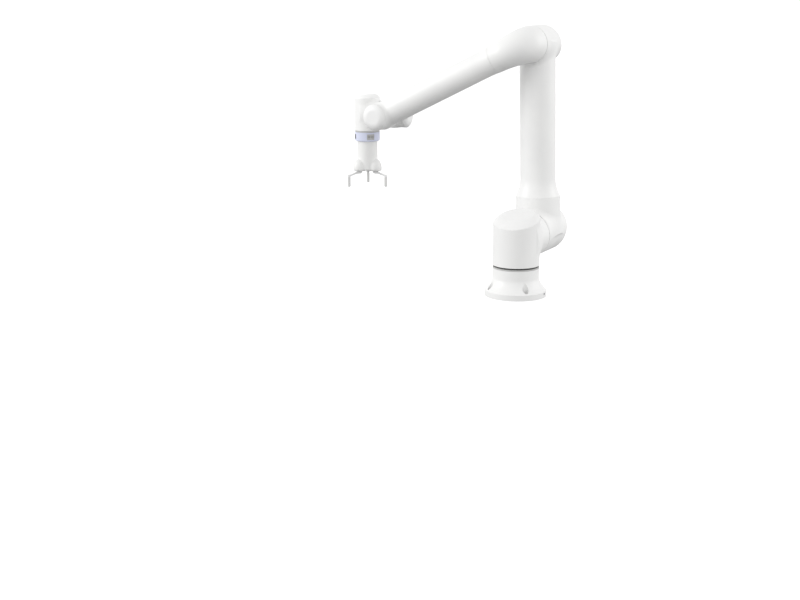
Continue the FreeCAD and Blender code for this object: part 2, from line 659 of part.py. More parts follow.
# ---- gripper ------------------------------------------------------------------------------
# Drawn in a frame at the tool face with local Z pointing down.

LOBE_WIDEST = 14.0             # above the underside
LOBE_DOME = 39.5               # height of a lobe's dome above its widest circle
LOBE_EDGE = 9.0                # rounding under a lobe
LOBE_SEAM = 119.5              # seam between the body and its lower cover
GRIPPER_WALL = 3.5
FIRST_FINGER_DEG = 62.0
FINGER_ANGLES = [FIRST_FINGER_DEG + 360 / FINGER_COUNT * index for index in range(FINGER_COUNT)]
FINGER_SHAFT_RADIUS = 5.0
FINGER_HUB_RADIUS = 9.0
FINGER_HUB_HIGH = 138.0        # lower face of a finger's hub
FINGER_BAR_THICKNESS = 8.0
FINGER_BAR_WIDTH = 9.0
GEAR_LOW = 98.0
GEAR_HIGH = 106.0
GEAR_MODULE = 2 * LOBE_CIRCLE_RADIUS / (SUN_TEETH + PINION_TEETH)
SUN_SHAFT_RADIUS = 6.0
SUN_SHAFT_LENGTH = 18.0
GRIPPER_MOTOR_RADIUS = 19.5
SCREW_HEAD_RADIUS = 5.0
SCREW_HEAD_HEIGHT = 6.0
SCREW_SOCKET_RADIUS = 2.5
SCREW_GRIP = 12.0              # into the tool flange


def in_tool_frame(shape):
    return placed(shape, TOOL_FACE, -UP, -RIGHT)


def lobe(shrink):
    """A bulb: a dome that swells to the lobe's radius and rounds off underneath."""
    radius = LOBE_RADIUS - shrink
    dome = LOBE_DOME - shrink
    widest = GRIPPER_LENGTH - LOBE_WIDEST
    low = GRIPPER_LENGTH - shrink
    edge = LOBE_EDGE
    steps = 12
    outline = [(0, widest - dome)]
    for index in range(1, steps + 1):
        angle = math.pi / 2 * index / steps
        outline.append((radius * math.sin(angle), widest - dome * math.cos(angle)))
    for index in range(steps + 1):
        angle = math.pi / 2 * index / steps
        outline.append((radius - edge + edge * math.cos(angle), low - edge + edge * math.sin(angle)))
    outline.append((0, low))
    return turned(outline)


def gripper_solid(shrink):
    body = cylinder(GRIPPER_BODY_RADIUS - shrink, shrink, GRIPPER_LENGTH - 6)
    for angle in FINGER_ANGLES:
        bulb = lobe(shrink)
        bulb.translate(polar(LOBE_CIRCLE_RADIUS, angle))
        body = body.fuse(bulb)
    return body


def gripper_body():
    """Tube with three bulbs, closed on top and open at the lower seam."""
    below = cylinder(4 * LOBE_CIRCLE_RADIUS, LOBE_SEAM, 2 * GRIPPER_LENGTH)
    body = gripper_solid(0).cut(gripper_solid(GRIPPER_WALL)).cut(below)
    for spot in bolt_spots(TOOL_BOLT_CIRCLE_RADIUS, TOOL_BOLT_START_DEG):
        body = body.cut(cylinder(TOOL_BOLT_RADIUS, -1, GRIPPER_WALL + 1, spot))
    return body


def gripper_lower_cover():
    """Underside of the bulbs, with a bearing bore for each finger shaft."""
    above = cylinder(4 * LOBE_CIRCLE_RADIUS, -10, LOBE_SEAM)
    body = gripper_solid(0).cut(above)
    for angle in FINGER_ANGLES:
        spot = polar(LOBE_CIRCLE_RADIUS, angle)
        body = body.cut(cylinder(FINGER_SHAFT_RADIUS + RUNNING_GAP, 0, 2 * GRIPPER_LENGTH, spot))
    return body


def gear(teeth, low, high, phase_deg, bore):
    """Spur gear with straight-sided teeth; a tooth is centred on phase_deg."""
    pitch = GEAR_MODULE * teeth / 2
    root = pitch - 1.25 * GEAR_MODULE
    tip = pitch + 0.8 * GEAR_MODULE
    quarter = 90 / teeth
    points = []
    for index in range(teeth):
        middle = phase_deg + 360 * index / teeth
        points.append(polar(root, middle - 1.2 * quarter, low))
        points.append(polar(tip, middle - 0.4 * quarter, low))
        points.append(polar(tip, middle + 0.4 * quarter, low))
        points.append(polar(root, middle + 1.2 * quarter, low))
    face = Part.Face(Part.makePolygon(points + [points[0]]))
    return face.extrude(UP * (high - low)).cut(cylinder(bore, low - 1, high + 1))


def gripper_sun_gear():
    wheel = gear(SUN_TEETH, GEAR_LOW, GEAR_HIGH, FINGER_ANGLES[0], 1.0)
    return wheel.fuse(cylinder(SUN_SHAFT_RADIUS, GEAR_LOW - SUN_SHAFT_LENGTH, GEAR_LOW + 1))


def gripper_motor():
    """Motor can hung from the body's top wall; the sun gear's shaft runs in it."""
    can = cylinder(GRIPPER_MOTOR_RADIUS, GRIPPER_WALL, GEAR_LOW - 4)
    bore_end = GEAR_LOW - SUN_SHAFT_LENGTH - JOINT_GAP
    return can.cut(cylinder(SUN_SHAFT_RADIUS + RUNNING_GAP, bore_end, GEAR_LOW))


def finger_pinion(angle):
    """Gear pressed on the finger's shaft: the tooth gap faces the sun gear."""
    phase = angle + 180 + 180 / PINION_TEETH
    wheel = gear(PINION_TEETH, GEAR_LOW, GEAR_HIGH, phase, FINGER_SHAFT_RADIUS)
    wheel.translate(polar(LOBE_CIRCLE_RADIUS, angle))
    return wheel


def finger_arm(angle):
    """Shaft, hub, sloping arm and the boss that the fingertip screws into."""
    shaft = cylinder(FINGER_SHAFT_RADIUS, GEAR_LOW - 3, FINGER_HUB_HIGH - 1)
    hub = cylinder(FINGER_HUB_RADIUS, GRIPPER_LENGTH + JOINT_GAP, FINGER_HUB_HIGH)
    boss_end = FINGERTIP_TOP - TOOL_DROP
    thickness = FINGER_BAR_THICKNESS
    width = FINGER_BAR_WIDTH
    profile = [
        V(0, 0, FINGER_HUB_HIGH - thickness), V(FINGER_HUB_RADIUS, 0, FINGER_HUB_HIGH - thickness),
        V(FINGER_REACH, 0, boss_end - thickness), V(FINGER_REACH, 0, boss_end),
        V(FINGER_REACH - width / 2, 0, boss_end), V(0, 0, FINGER_HUB_HIGH)]
    bar = Part.Face(Part.makePolygon(profile + [profile[0]])).extrude(V(0, width, 0))
    bar.translate(V(0, -width / 2, 0))
    boss_centre = V(FINGER_REACH, 0, 0)
    boss = cylinder(width / 2 + 0.8, boss_end - thickness - 1, boss_end, boss_centre)
    body = shaft.fuse([hub, bar, boss])
    body.rotate(V(0, 0, 0), UP, angle)
    body.translate(polar(LOBE_CIRCLE_RADIUS, angle))
    return body


def fingertip(angle):
    """Rubber-sleeved round post with a domed end."""
    top = FINGERTIP_TOP - TOOL_DROP
    bottom = FINGERTIP_BOTTOM - TOOL_DROP
    dome = FINGERTIP_RADIUS * 0.6
    body = cylinder(FINGERTIP_RADIUS, top, bottom)
    body = body.makeFillet(dome, [body.Edges[index] for index in end_edges(body, bottom)])
    body = body.makeFillet(1.0, [body.Edges[index] for index in end_edges(body, top)])
    body.translate(polar(LOBE_CIRCLE_RADIUS + FINGER_REACH, angle))
    return body


def end_edges(body, height):
    """Indexes of the round edges that lie at one height."""
    found = []
    for index, edge in enumerate(body.Edges):
        flat = edge.BoundBox.ZLength < 0.01 and abs(edge.BoundBox.ZMin - height) < 0.01
        if flat:
            found.append(index)
    return found


def tool_screws():
    """Four socket-head screws from inside the gripper's top wall into the tool flange."""
    group = []
    for spot in bolt_spots(TOOL_BOLT_CIRCLE_RADIUS, TOOL_BOLT_START_DEG):
        top = GRIPPER_WALL + SCREW_HEAD_HEIGHT
        head = cylinder(SCREW_HEAD_RADIUS, GRIPPER_WALL, top, spot)
        shank = cylinder(TOOL_BOLT_RADIUS - 0.3, -SCREW_GRIP, GRIPPER_WALL + 1, spot)
        socket = cylinder(SCREW_SOCKET_RADIUS, top - 3, top + 1, spot)
        group.append(head.fuse(shank).cut(socket))
    return Part.makeCompound(group)


# ---- write every node ---------------------------------------------------------------------

os.makedirs("parts", exist_ok=True)

save(base_housing(), "base_housing")
save(base_connector(), "base_connector")
save(earth_screw(), "earth_screw")
save(shoulder_casing(), "shoulder_casing")
save(upper_arm_foot_casing(), "upper_arm_foot_casing")
save(upper_arm_link(), "upper_arm_link")
save(forearm_elbow_casing(), "forearm_elbow_casing")
save(forearm_link(), "forearm_link")
save(wrist_1_casing(), "wrist_1_casing")
save(wrist_2_casing(), "wrist_2_casing")
save(tool_flange(), "tool_flange")
save(tool_panel(), "tool_panel")
save(free_drive_button(), "free_drive_button")

turret_cap = end_cap(TURRET_RADIUS, TURRET_CAP_FLAT, ARM_CAP)
foot_cap = end_cap(SHOULDER_RADIUS, SHOULDER_CAP_FLAT, ARM_CAP)
elbow_cap = end_cap(ELBOW_RADIUS, ELBOW_CAP_FLAT, ARM_CAP)
wrist_cap = end_cap(WRIST_RADIUS, WRIST_CAP_FLAT, WRIST_CAP)
save(placed(turret_cap, SHOULDER, UP, -BACK), "shoulder_end_cap")
save(placed(foot_cap, ARM_FOOT, BACK, -ARM_DIRECTION), "upper_arm_foot_end_cap")
save(placed(elbow_cap, ARM_TOP, BACK, ARM_DIRECTION), "upper_arm_top_end_cap")
save(placed(wrist_cap, FOREARM_END, -BACK, FOREARM_DIRECTION), "forearm_end_cap")
save(placed(wrist_cap, WRIST_1, RIGHT, BACK), "wrist_1_end_cap")
save(placed(wrist_cap, WRIST_2, UP, -RIGHT), "wrist_2_end_cap")

joint_nodes("base_joint", TURRET_RADIUS, THICK_RING, BASE_SEAM_CENTRE, UP, RIGHT)
joint_nodes("shoulder_joint", SHOULDER_RADIUS, THIN_RING, SHOULDER_SEAM_CENTRE, BACK, RIGHT)
joint_nodes("elbow_joint", ELBOW_RADIUS, THIN_RING, ELBOW_SEAM_CENTRE, -BACK, RIGHT)
joint_nodes("wrist_1_joint", WRIST_RADIUS, THIN_RING, WRIST_1_SEAM_CENTRE, BACK, RIGHT)
joint_nodes("wrist_2_joint", WRIST_RADIUS, THIN_RING, WRIST_2_SEAM_CENTRE, -RIGHT, BACK)
joint_nodes("wrist_3_joint", WRIST_RADIUS, THICK_RING, WRIST_3_SEAM_CENTRE, -UP, RIGHT)

save(in_tool_frame(gripper_body()), "gripper_body")
save(in_tool_frame(gripper_lower_cover()), "gripper_lower_cover")
save(in_tool_frame(gripper_motor()), "gripper_motor")
save(in_tool_frame(gripper_sun_gear()), "gripper_sun_gear")
save(in_tool_frame(tool_screws()), "tool_screws")
for number, finger_angle in enumerate(FINGER_ANGLES, start=1):
    save(in_tool_frame(finger_arm(finger_angle)), "finger_%d_arm" % number)
    save(in_tool_frame(finger_pinion(finger_angle)), "finger_%d_pinion" % number)
    save(in_tool_frame(fingertip(finger_angle)), "finger_%d_tip" % number)
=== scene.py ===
"""Looks of a collaborative robot arm with a three-finger gripper.

The painted casings are rebuilt as smooth solids round the CAD joints: each is described by a
signed distance field (negative inside), meshed on a fine grid and pulled onto the exact
surface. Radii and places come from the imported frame.
"""
import json
import math

import bpy
import numpy as np
import openvdb
from mathutils import Matrix, Vector


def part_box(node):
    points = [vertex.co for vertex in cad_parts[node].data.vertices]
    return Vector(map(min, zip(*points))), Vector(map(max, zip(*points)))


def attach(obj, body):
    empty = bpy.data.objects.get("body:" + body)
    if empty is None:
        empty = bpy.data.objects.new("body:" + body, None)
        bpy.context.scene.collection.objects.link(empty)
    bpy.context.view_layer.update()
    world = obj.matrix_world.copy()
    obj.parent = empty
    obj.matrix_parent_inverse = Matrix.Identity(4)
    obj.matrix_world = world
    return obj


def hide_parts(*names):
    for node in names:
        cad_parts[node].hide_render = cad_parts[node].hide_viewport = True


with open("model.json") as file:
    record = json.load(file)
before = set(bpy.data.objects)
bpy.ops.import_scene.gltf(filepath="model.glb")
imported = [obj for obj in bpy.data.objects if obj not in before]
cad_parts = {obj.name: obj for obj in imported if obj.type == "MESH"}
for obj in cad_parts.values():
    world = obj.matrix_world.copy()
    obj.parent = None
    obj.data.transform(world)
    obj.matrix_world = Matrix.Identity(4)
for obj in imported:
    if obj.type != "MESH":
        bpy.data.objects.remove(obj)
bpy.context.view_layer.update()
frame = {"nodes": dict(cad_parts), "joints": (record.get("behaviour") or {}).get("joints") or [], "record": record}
nodes = frame["nodes"]
joints = {joint["name"]: joint for joint in frame["joints"]}


# ---- places and sizes read from the frame -------------------------------------------------

MM = 0.001
UP = np.array([0.0, 0.0, 1.0])
BACK = np.array([0.0, 1.0, 0.0])
RIGHT = np.array([1.0, 0.0, 0.0])


def joint_place(name):
    return np.array(joints[name]["pos_m"], float)


def box_size(node):
    low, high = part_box(node)
    return np.array(high - low)


def unit(vector):
    return vector / np.linalg.norm(vector)


ARM_FOOT = joint_place("shoulder_turn")
ARM_TOP = joint_place("elbow_turn")
FOREARM_END = joint_place("wrist_1_turn")
WRIST_1 = joint_place("wrist_2_turn")
WRIST_2 = joint_place("wrist_3_turn")
SHOULDER = ARM_FOOT * np.array([1.0, 0.0, 1.0])
FOREARM_ROOT = np.array([ARM_TOP[0], FOREARM_END[1], ARM_TOP[2]])
ARM_DIRECTION = unit(ARM_TOP - ARM_FOOT)
FOREARM_DIRECTION = unit(FOREARM_END - FOREARM_ROOT)
ARM_LENGTH = np.linalg.norm(ARM_TOP - ARM_FOOT)
FOREARM_LENGTH = np.linalg.norm(FOREARM_END - FOREARM_ROOT)

TURRET_RADIUS = box_size("shoulder_casing")[0] / 2
RING_INSET = 1.5 * MM          # a seal ring is this much slimmer than its casing
SHOULDER_RADIUS = box_size("shoulder_joint_seal_ring")[0] / 2 + RING_INSET
ELBOW_RADIUS = box_size("elbow_joint_seal_ring")[0] / 2 + RING_INSET
WRIST_RADIUS = box_size("wrist_1_joint_seal_ring")[0] / 2 + RING_INSET
JOINT_GAP = 0.4 * MM


def ring_span(node, origin, axis):
    """Lowest and highest distance of a seal ring from origin along an axis of the frame."""
    low, high = (np.array(corner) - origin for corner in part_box(node))
    ends = sorted((float(low @ axis), float(high @ axis)))
    return ends[0], ends[1]


# ---- signed distance fields ---------------------------------------------------------------

def rounded_and(first, second, radius):
    """Intersection whose edge is rounded to radius."""
    a = first + radius
    b = second + radius
    outside = np.hypot(np.maximum(a, 0), np.maximum(b, 0))
    return np.minimum(np.maximum(a, b), 0) + outside - radius


def filleted_or(first, second, radius):
    """Union whose inner corner is filled with a fillet of radius."""
    a = np.maximum(radius - first, 0)
    b = np.maximum(radius - second, 0)
    return np.maximum(radius, np.minimum(first, second)) - np.hypot(a, b)


def along(points, origin, axis):
    return (points - origin) @ axis


def radial(points, origin, axis):
    """Distance from a line."""
    offset = points - origin
    return np.linalg.norm(offset - np.outer(offset @ axis, axis), axis=1)


def between(values, low, high):
    """Signed distance outside the range low..high."""
    return np.abs(values - (low + high) / 2) - (high - low) / 2


def smooth_step(part):
    part = np.clip(part, 0, 1)
    return 0.5 - 0.5 * np.cos(math.pi * part)


# ---- meshing ------------------------------------------------------------------------------

def gradient(field, points, step):
    slope = np.empty_like(points)
    for axis in range(3):
        shift = np.zeros(3)
        shift[axis] = step
        slope[:, axis] = field(points + shift) - field(points - shift)
    return slope / (2 * step)


def settle(field, points, step):
    """Pull points onto the field's zero surface."""
    for _ in range(4):
        slope = gradient(field, points, step)
        length = np.maximum((slope ** 2).sum(axis=1), 0.05)
        move = slope * (field(points) / length)[:, None]
        reach = np.linalg.norm(move, axis=1)
        limit = np.minimum(1, step * 8 / np.maximum(reach, 1e-9))
        points = points - move * limit[:, None]
    return points


def solid(name, field, low, high, cell, turn=None):
    """Mesh object of field inside the box low..high; turn maps the box's frame to the row frame."""
    low = np.array(low, float) - 2 * cell
    high = np.array(high, float) + 2 * cell
    counts = np.ceil((high - low) / cell).astype(int) + 1
    axes = [low[axis] + cell * np.arange(counts[axis]) for axis in range(3)]
    mesh_grid = np.stack(np.meshgrid(*axes, indexing="ij"), axis=-1).reshape(-1, 3)
    turn = np.eye(3) if turn is None else turn
    values = np.empty(len(mesh_grid), np.float32)
    for start in range(0, len(mesh_grid), 400000):
        part = slice(start, start + 400000)
        values[part] = field(mesh_grid[part] @ turn.T)
    grid = openvdb.FloatGrid(4 * cell)
    grid.copyFromArray(values.reshape(counts))
    corners, faces = grid.convertToQuads(isovalue=0)
    corners = (corners.astype(float) * cell + low) @ turn.T
    corners = settle(field, corners, 0.05 * cell)
    mesh = bpy.data.meshes.new(name)
    mesh.from_pydata(corners.tolist(), [], faces[:, ::-1].tolist())
    mesh.update()
    mesh.polygons.foreach_set("use_smooth", [True] * len(mesh.polygons))
    normals = gradient(field, corners, 0.1 * cell)
    normals /= np.maximum(np.linalg.norm(normals, axis=1), 1e-9)[:, None]
    facing = np.array([polygon.normal[:] for polygon in mesh.polygons[:200]])
    guess = normals[[polygon.vertices[0] for polygon in mesh.polygons[:200]]]
    if (facing * guess).sum() < 0:
        mesh.flip_normals()
    mesh.normals_split_custom_set_from_vertices(normals.tolist())
    piece = bpy.data.objects.new(name, mesh)
    bpy.context.scene.collection.objects.link(piece)
    return piece


# ---- casings ------------------------------------------------------------------------------

# Cap shapes: tilt, then bevel drop, flat radius and flat shift as shares of the casing radius,
# then the rounding round the flat.
ARM_CAP = (math.radians(15), 0.19, 0.80, 0.11, 9 * MM)
WRIST_CAP = (math.radians(5), 0.30, 0.72, 0.05, 9 * MM)
WALL = 5 * MM
EDGE = 0.8 * MM                # rounding where two castings meet
CAP_SEAM = 0.15 * MM           # rounding where a cap meets its casing
LIP = 4 * MM                   # register ring of a cap or a link
SEAM_DEPTH = 0.5 * MM          # depth of a seam between two fixed castings
SPLIT_EDGE = 0.3 * MM          # rounding at the split of a link


class Casing:
    """A trunk along axis with a leaning end, and a side branch away from the lean."""

    def __init__(self, centre, axis, lean, radius, flat, branch, branch_radius, fillet, cap_shape):
        self.centre = centre
        self.axis = axis
        self.lean = lean
        self.radius = radius
        self.branch = branch
        self.branch_radius = branch_radius
        self.fillet = fillet
        self.tilt, drop, flat_radius, flat_shift, self.cap_edge = cap_shape
        self.drop = drop * radius
        self.flat_radius = flat_radius * radius
        self.flat_shift = flat_shift * radius
        self.flat = flat
        self.rim = flat - self.drop

    def rim_height(self, points):
        """Signed distance above the leaning plane of the rim."""
        height = along(points, self.centre, self.axis) - self.rim
        return height * math.cos(self.tilt) + along(points, self.centre, self.lean) * math.sin(self.tilt)

    def trunk(self, points, shrink=0.0):
        return radial(points, self.centre, self.axis) - self.radius + shrink

    def branch_tube(self, points, shrink=0.0):
        tube = radial(points, self.centre, self.branch) - self.branch_radius + shrink
        return np.maximum(tube, -along(points, self.centre, self.branch))

    def body(self, points):
        trunk = rounded_and(self.trunk(points), self.rim_height(points), CAP_SEAM)
        return filleted_or(trunk, self.branch_tube(points), self.fillet)

    def hollow(self, points):
        return np.minimum(self.trunk(points, WALL), self.branch_tube(points, WALL))

    def cap(self, points, shrink=0.0):
        """The bevelled cover between the rim and the round flat."""
        height = self.rim_height(points)
        top = self.drop * math.cos(self.tilt)
        part = np.clip(height / top, 0, 1.2)
        shift = -self.flat_shift / math.cos(self.tilt) - self.drop * math.sin(self.tilt)
        across = (along(points, self.centre, self.lean) * math.cos(self.tilt)
                  - (along(points, self.centre, self.axis) - self.rim) * math.sin(self.tilt))
        sideways = along(points, self.centre, np.cross(self.axis, self.lean))
        long_radius = self.radius / math.cos(self.tilt)
        reach = long_radius + (self.flat_radius - long_radius) * part
        width = self.radius + (self.flat_radius - self.radius) * part
        side = np.hypot((across - shift * part) / reach, sideways / width) - 1
        slant = math.cos(math.atan2(self.radius - self.flat_radius, self.drop))
        side = side * width * slant + shrink
        cover = rounded_and(side, height - top + shrink, self.cap_edge)
        return cover if shrink else rounded_and(cover, -height, CAP_SEAM)

    def lip(self, points):
        """Register ring just under the skin at the rim, which closes the seam from behind."""
        ring = np.maximum(self.cap(points, SEAM_DEPTH), -self.cap(points, WALL + LIP))
        return np.maximum(ring, np.abs(self.rim_height(points)) - 2 * LIP)

    def cap_shell(self, points):
        shell = np.maximum(self.cap(points), -self.cap(points, WALL + LIP))
        return np.minimum(shell, self.lip(points))


def casing_shell(casing, cuts):
    """Field of a hollow casing, cut square at each (origin, outward direction, distance)."""
    def field(points):
        body = casing.body(points)
        for origin, outward, distance, edge in cuts:
            body = rounded_and(body, along(points, origin, outward) - distance, edge)
        return np.maximum(body, -casing.hollow(points))
    return field


def casing(cap_node, centre, axis, lean, radius, branch, branch_radius, fillet, cap_shape):
    """A casing whose cap's flat stands where the CAD cap's box says."""
    low, high = (np.array(corner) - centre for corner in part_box(cap_node))
    reach = max(float(low @ axis), float(high @ axis))
    tilt, _, flat_radius, flat_shift, _ = cap_shape
    flat = reach - flat_radius * radius * math.sin(tilt) - flat_shift * radius * math.tan(tilt)
    return Casing(centre, axis, lean, radius, flat, branch, branch_radius, fillet, cap_shape)


ARM_SPLIT = 143 * MM           # fixed seams and flares, as in the CAD
ARM_SPLIT_RADIUS = 90 * MM
ARM_FLARE_END = 218 * MM
ARM_TUBE_RADIUS = 71.5 * MM
FOREARM_SPLIT = 127 * MM
FOREARM_SPLIT_RADIUS = 58 * MM
FOREARM_FLARE_END = 185 * MM
FOREARM_TUBE_RADIUS = 54 * MM
SPLIT_STEP = 1.2 * MM
FLARE_DELAY = 4 * MM           # straight part between a split and the start of its flare
ARM_FILLET = 22 * MM           # fillets where a branch leaves its trunk
ELBOW_FILLET = 18 * MM
WRIST_FILLET = 13 * MM

turret = casing("shoulder_end_cap", SHOULDER, UP, -BACK, TURRET_RADIUS, BACK,
                SHOULDER_RADIUS, ARM_FILLET, ARM_CAP)
arm_foot = casing("upper_arm_foot_end_cap", ARM_FOOT, BACK, -ARM_DIRECTION, SHOULDER_RADIUS,
                  ARM_DIRECTION, ARM_SPLIT_RADIUS, ARM_FILLET, ARM_CAP)
arm_top = casing("upper_arm_top_end_cap", ARM_TOP, BACK, ARM_DIRECTION, ELBOW_RADIUS,
                 -ARM_DIRECTION, ARM_TUBE_RADIUS, ELBOW_FILLET, ARM_CAP)
forearm_end = casing("forearm_end_cap", FOREARM_END, -BACK, FOREARM_DIRECTION, WRIST_RADIUS,
                     -FOREARM_DIRECTION, FOREARM_TUBE_RADIUS, WRIST_FILLET, WRIST_CAP)
wrist_1 = casing("wrist_1_end_cap", WRIST_1, RIGHT, BACK, WRIST_RADIUS, -BACK,
                 WRIST_RADIUS, WRIST_FILLET, WRIST_CAP)
wrist_2 = casing("wrist_2_end_cap", WRIST_2, UP, -RIGHT, WRIST_RADIUS, RIGHT,
                 WRIST_RADIUS, WRIST_FILLET, WRIST_CAP)


def link_radius(distance, split, split_radius, flare_end, tube):
    """Outer radius of an arm link: a step at the split, a quick flare, a straight tube."""
    start = split + FLARE_DELAY
    part = np.clip((distance - start) / (flare_end - start), 0, 1)
    top = split_radius - SPLIT_STEP
    return tube + (top - tube) * (1 - part) ** 2


def link_shell(end, root, direction, split, split_radius, flare_end, seam_origin, seam_outward):
    """Field of a link: split end, flare, tube and the joint casing at its far end."""
    halfway = 0.5 * np.linalg.norm(end.centre - root)

    def field(points):
        distance = along(points, root, direction)
        thick = link_radius(distance, split, split_radius, flare_end, end.branch_radius)
        tube = radial(points, root, direction) - thick
        past_end = along(points, end.centre, direction)
        seam = along(points, seam_origin, seam_outward)
        trunk = rounded_and(end.trunk(points), end.rim_height(points), CAP_SEAM)
        trunk = rounded_and(trunk, seam, EDGE)
        body = filleted_or(trunk, np.maximum(tube, past_end), end.fillet)
        trimmed = rounded_and(body, seam, EDGE)
        body = np.where(distance > halfway, trimmed, body)
        body = rounded_and(body, split - distance, SPLIT_EDGE)
        hollow = np.minimum(end.trunk(points, WALL), np.maximum(tube + WALL, past_end))
        spigot = np.maximum(tube + SEAM_DEPTH, -tube - WALL - LIP)
        spigot = np.maximum(spigot, np.abs(distance - split) - 2 * LIP)
        return np.minimum(np.maximum(body, -hollow), spigot)
    return field


# ---- forearm elbow ------------------------------------------------------------------------

BEND_SIDE = np.cross(BACK, FOREARM_DIRECTION)


def elbow_bend(start_point):
    """Field of the smooth bend from the joint 3 axis round to the forearm axis."""
    bend_radius = float((start_point - FOREARM_ROOT) @ BACK)
    pivot = start_point + FOREARM_DIRECTION * bend_radius
    arc = bend_radius * math.pi / 2
    whole = arc + FOREARM_SPLIT - bend_radius

    def thickness(travelled):
        blend = smooth_step(travelled / whole)
        return ELBOW_RADIUS + (FOREARM_SPLIT_RADIUS - ELBOW_RADIUS) * blend

    def field(points):
        towards_start = along(points, pivot, -FOREARM_DIRECTION)
        towards_front = along(points, pivot, -BACK)
        angle = np.clip(np.arctan2(towards_front, towards_start), 0, math.pi / 2)
        past_end = np.where(towards_start < 0, -towards_start, 0)
        travelled = np.where(past_end > 0, arc + past_end, angle * bend_radius)
        travelled = np.where(towards_front < 0, 0, travelled)
        reach = np.hypot(towards_start, towards_front)
        reach = np.where(past_end > 0, towards_front, reach)
        reach = np.where(towards_front < 0, towards_start, reach)
        side = along(points, pivot, BEND_SIDE)
        tube = np.hypot(reach - bend_radius, side) - thickness(travelled)
        body = rounded_and(tube, along(points, start_point, BACK), EDGE)
        body = rounded_and(body, along(points, FOREARM_ROOT, FOREARM_DIRECTION) - FOREARM_SPLIT,
                           SPLIT_EDGE)
        return np.maximum(body, -(tube + WALL))
    return field


# ---- gripper ------------------------------------------------------------------------------

GRIPPER_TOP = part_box("gripper_body")[1].z
GRIPPER_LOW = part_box("gripper_lower_cover")[0].z
GRIPPER_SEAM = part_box("gripper_body")[0].z
TOOL_AXIS_POINT = WRIST_2
FINGERS = [joint_place("finger_%d_swing" % number) for number in (1, 2, 3)]
BODY_RADIUS = 43 * MM
LOBE_RADIUS = 28 * MM
LOBE_HEIGHT = 39.5 * MM        # of the dome above a lobe's widest circle
LOBE_WIDEST = 14 * MM          # above the underside
LOBE_EDGE = 9 * MM             # rounding of a lobe's underside
LOBE_FILLET = 3 * MM           # between a lobe and the tube
TUBE_START = 6 * MM            # the tube's lower end, above the underside
TUBE_EDGE = 2 * MM
TOP_EDGE = 1.0 * MM
COVER_EDGE = 0.5 * MM          # rounding at the seam of the lower cover
GRIPPER_WALL = 3.5 * MM
SHAFT_BORE = 5.3 * MM

HUB_RADIUS = 9 * MM            # finger arm
HUB_DEPTH = 10 * MM            # from the lower cover down to the hub's underside
SHAFT_RADIUS = 5 * MM
BAR_MIDDLE = 4.5 * MM          # height of the bar's middle above its underside
BAR_HALF_DEPTH = 4 * MM
BAR_HALF_WIDTH = 4.3 * MM
BAR_SWEEP = 1.5                # power of the bar's fall from the hub to the boss
BOSS_RADIUS = 5.6 * MM
BOSS_HALF_HEIGHT = 5 * MM
FINGER_EDGE = 1.5 * MM
HUB_FILLET = 4 * MM
BOSS_FILLET = 2.5 * MM


def gripper_outer(points, shrink=0.0):
    height = points[:, 2]
    tube = radial(points, TOOL_AXIS_POINT, UP) - BODY_RADIUS + shrink
    body = rounded_and(tube, GRIPPER_LOW + TUBE_START - height, TUBE_EDGE)
    for centre in FINGERS:
        reach = radial(points, centre, UP)
        rise = np.maximum(height - GRIPPER_LOW - LOBE_WIDEST, 0)
        dome = (np.hypot(reach / LOBE_RADIUS, rise / LOBE_HEIGHT) - 1) * LOBE_RADIUS + shrink
        bulb = rounded_and(dome, GRIPPER_LOW + shrink - height, LOBE_EDGE)
        body = filleted_or(body, bulb, LOBE_FILLET)
    return body


def gripper_body_field(points):
    body = rounded_and(gripper_outer(points), points[:, 2] - GRIPPER_TOP, TOP_EDGE)
    body = rounded_and(body, GRIPPER_SEAM - points[:, 2], COVER_EDGE)
    inner = np.maximum(gripper_outer(points, GRIPPER_WALL), points[:, 2] - GRIPPER_TOP + GRIPPER_WALL)
    return np.maximum(body, -inner)


def gripper_cover_field(points):
    body = rounded_and(gripper_outer(points), points[:, 2] - GRIPPER_SEAM, COVER_EDGE)
    for centre in FINGERS:
        bore = radial(points, centre, UP) - SHAFT_BORE
        body = np.maximum(body, -bore)
    return body


def finger_field(number):
    """Hub under the lobe, an arm that slopes out and down, and the boss over the fingertip."""
    centre = FINGERS[number - 1]
    tip_low, tip_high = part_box("finger_%d_tip" % number)
    tip = np.array((tip_low + tip_high) / 2)
    boss_low = tip_high.z
    outward = unit((tip - centre) * np.array([1, 1, 0]))
    sideways = np.cross(UP, outward)
    reach = float((tip - centre) @ outward)
    hub_low = GRIPPER_LOW - HUB_DEPTH
    hub_high = GRIPPER_LOW - JOINT_GAP
    shaft_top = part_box("finger_%d_arm" % number)[1].z

    def field(points):
        height = points[:, 2]
        hub = rounded_and(radial(points, centre, UP) - HUB_RADIUS,
                          between(height, hub_low, hub_high), FINGER_EDGE)
        shaft = np.maximum(radial(points, centre, UP) - SHAFT_RADIUS,
                           between(height, hub_low, shaft_top))
        out = along(points, centre, outward)
        part = np.clip(out / reach, 0, 1)
        middle = hub_low + BAR_MIDDLE + (boss_low - hub_low) * part ** BAR_SWEEP
        bar = rounded_and(np.abs(height - middle) - BAR_HALF_DEPTH,
                          np.abs(along(points, centre, sideways)) - BAR_HALF_WIDTH, FINGER_EDGE)
        bar = np.maximum(bar, between(out, 0, reach))
        boss = rounded_and(radial(points, tip, UP) - BOSS_RADIUS,
                           between(height, boss_low, boss_low + 2 * BOSS_HALF_HEIGHT), FINGER_EDGE)
        body = filleted_or(filleted_or(hub, bar, HUB_FILLET), boss, BOSS_FILLET)
        return np.minimum(body, shaft)
    return field


# ---- materials ----------------------------------------------------------------------------

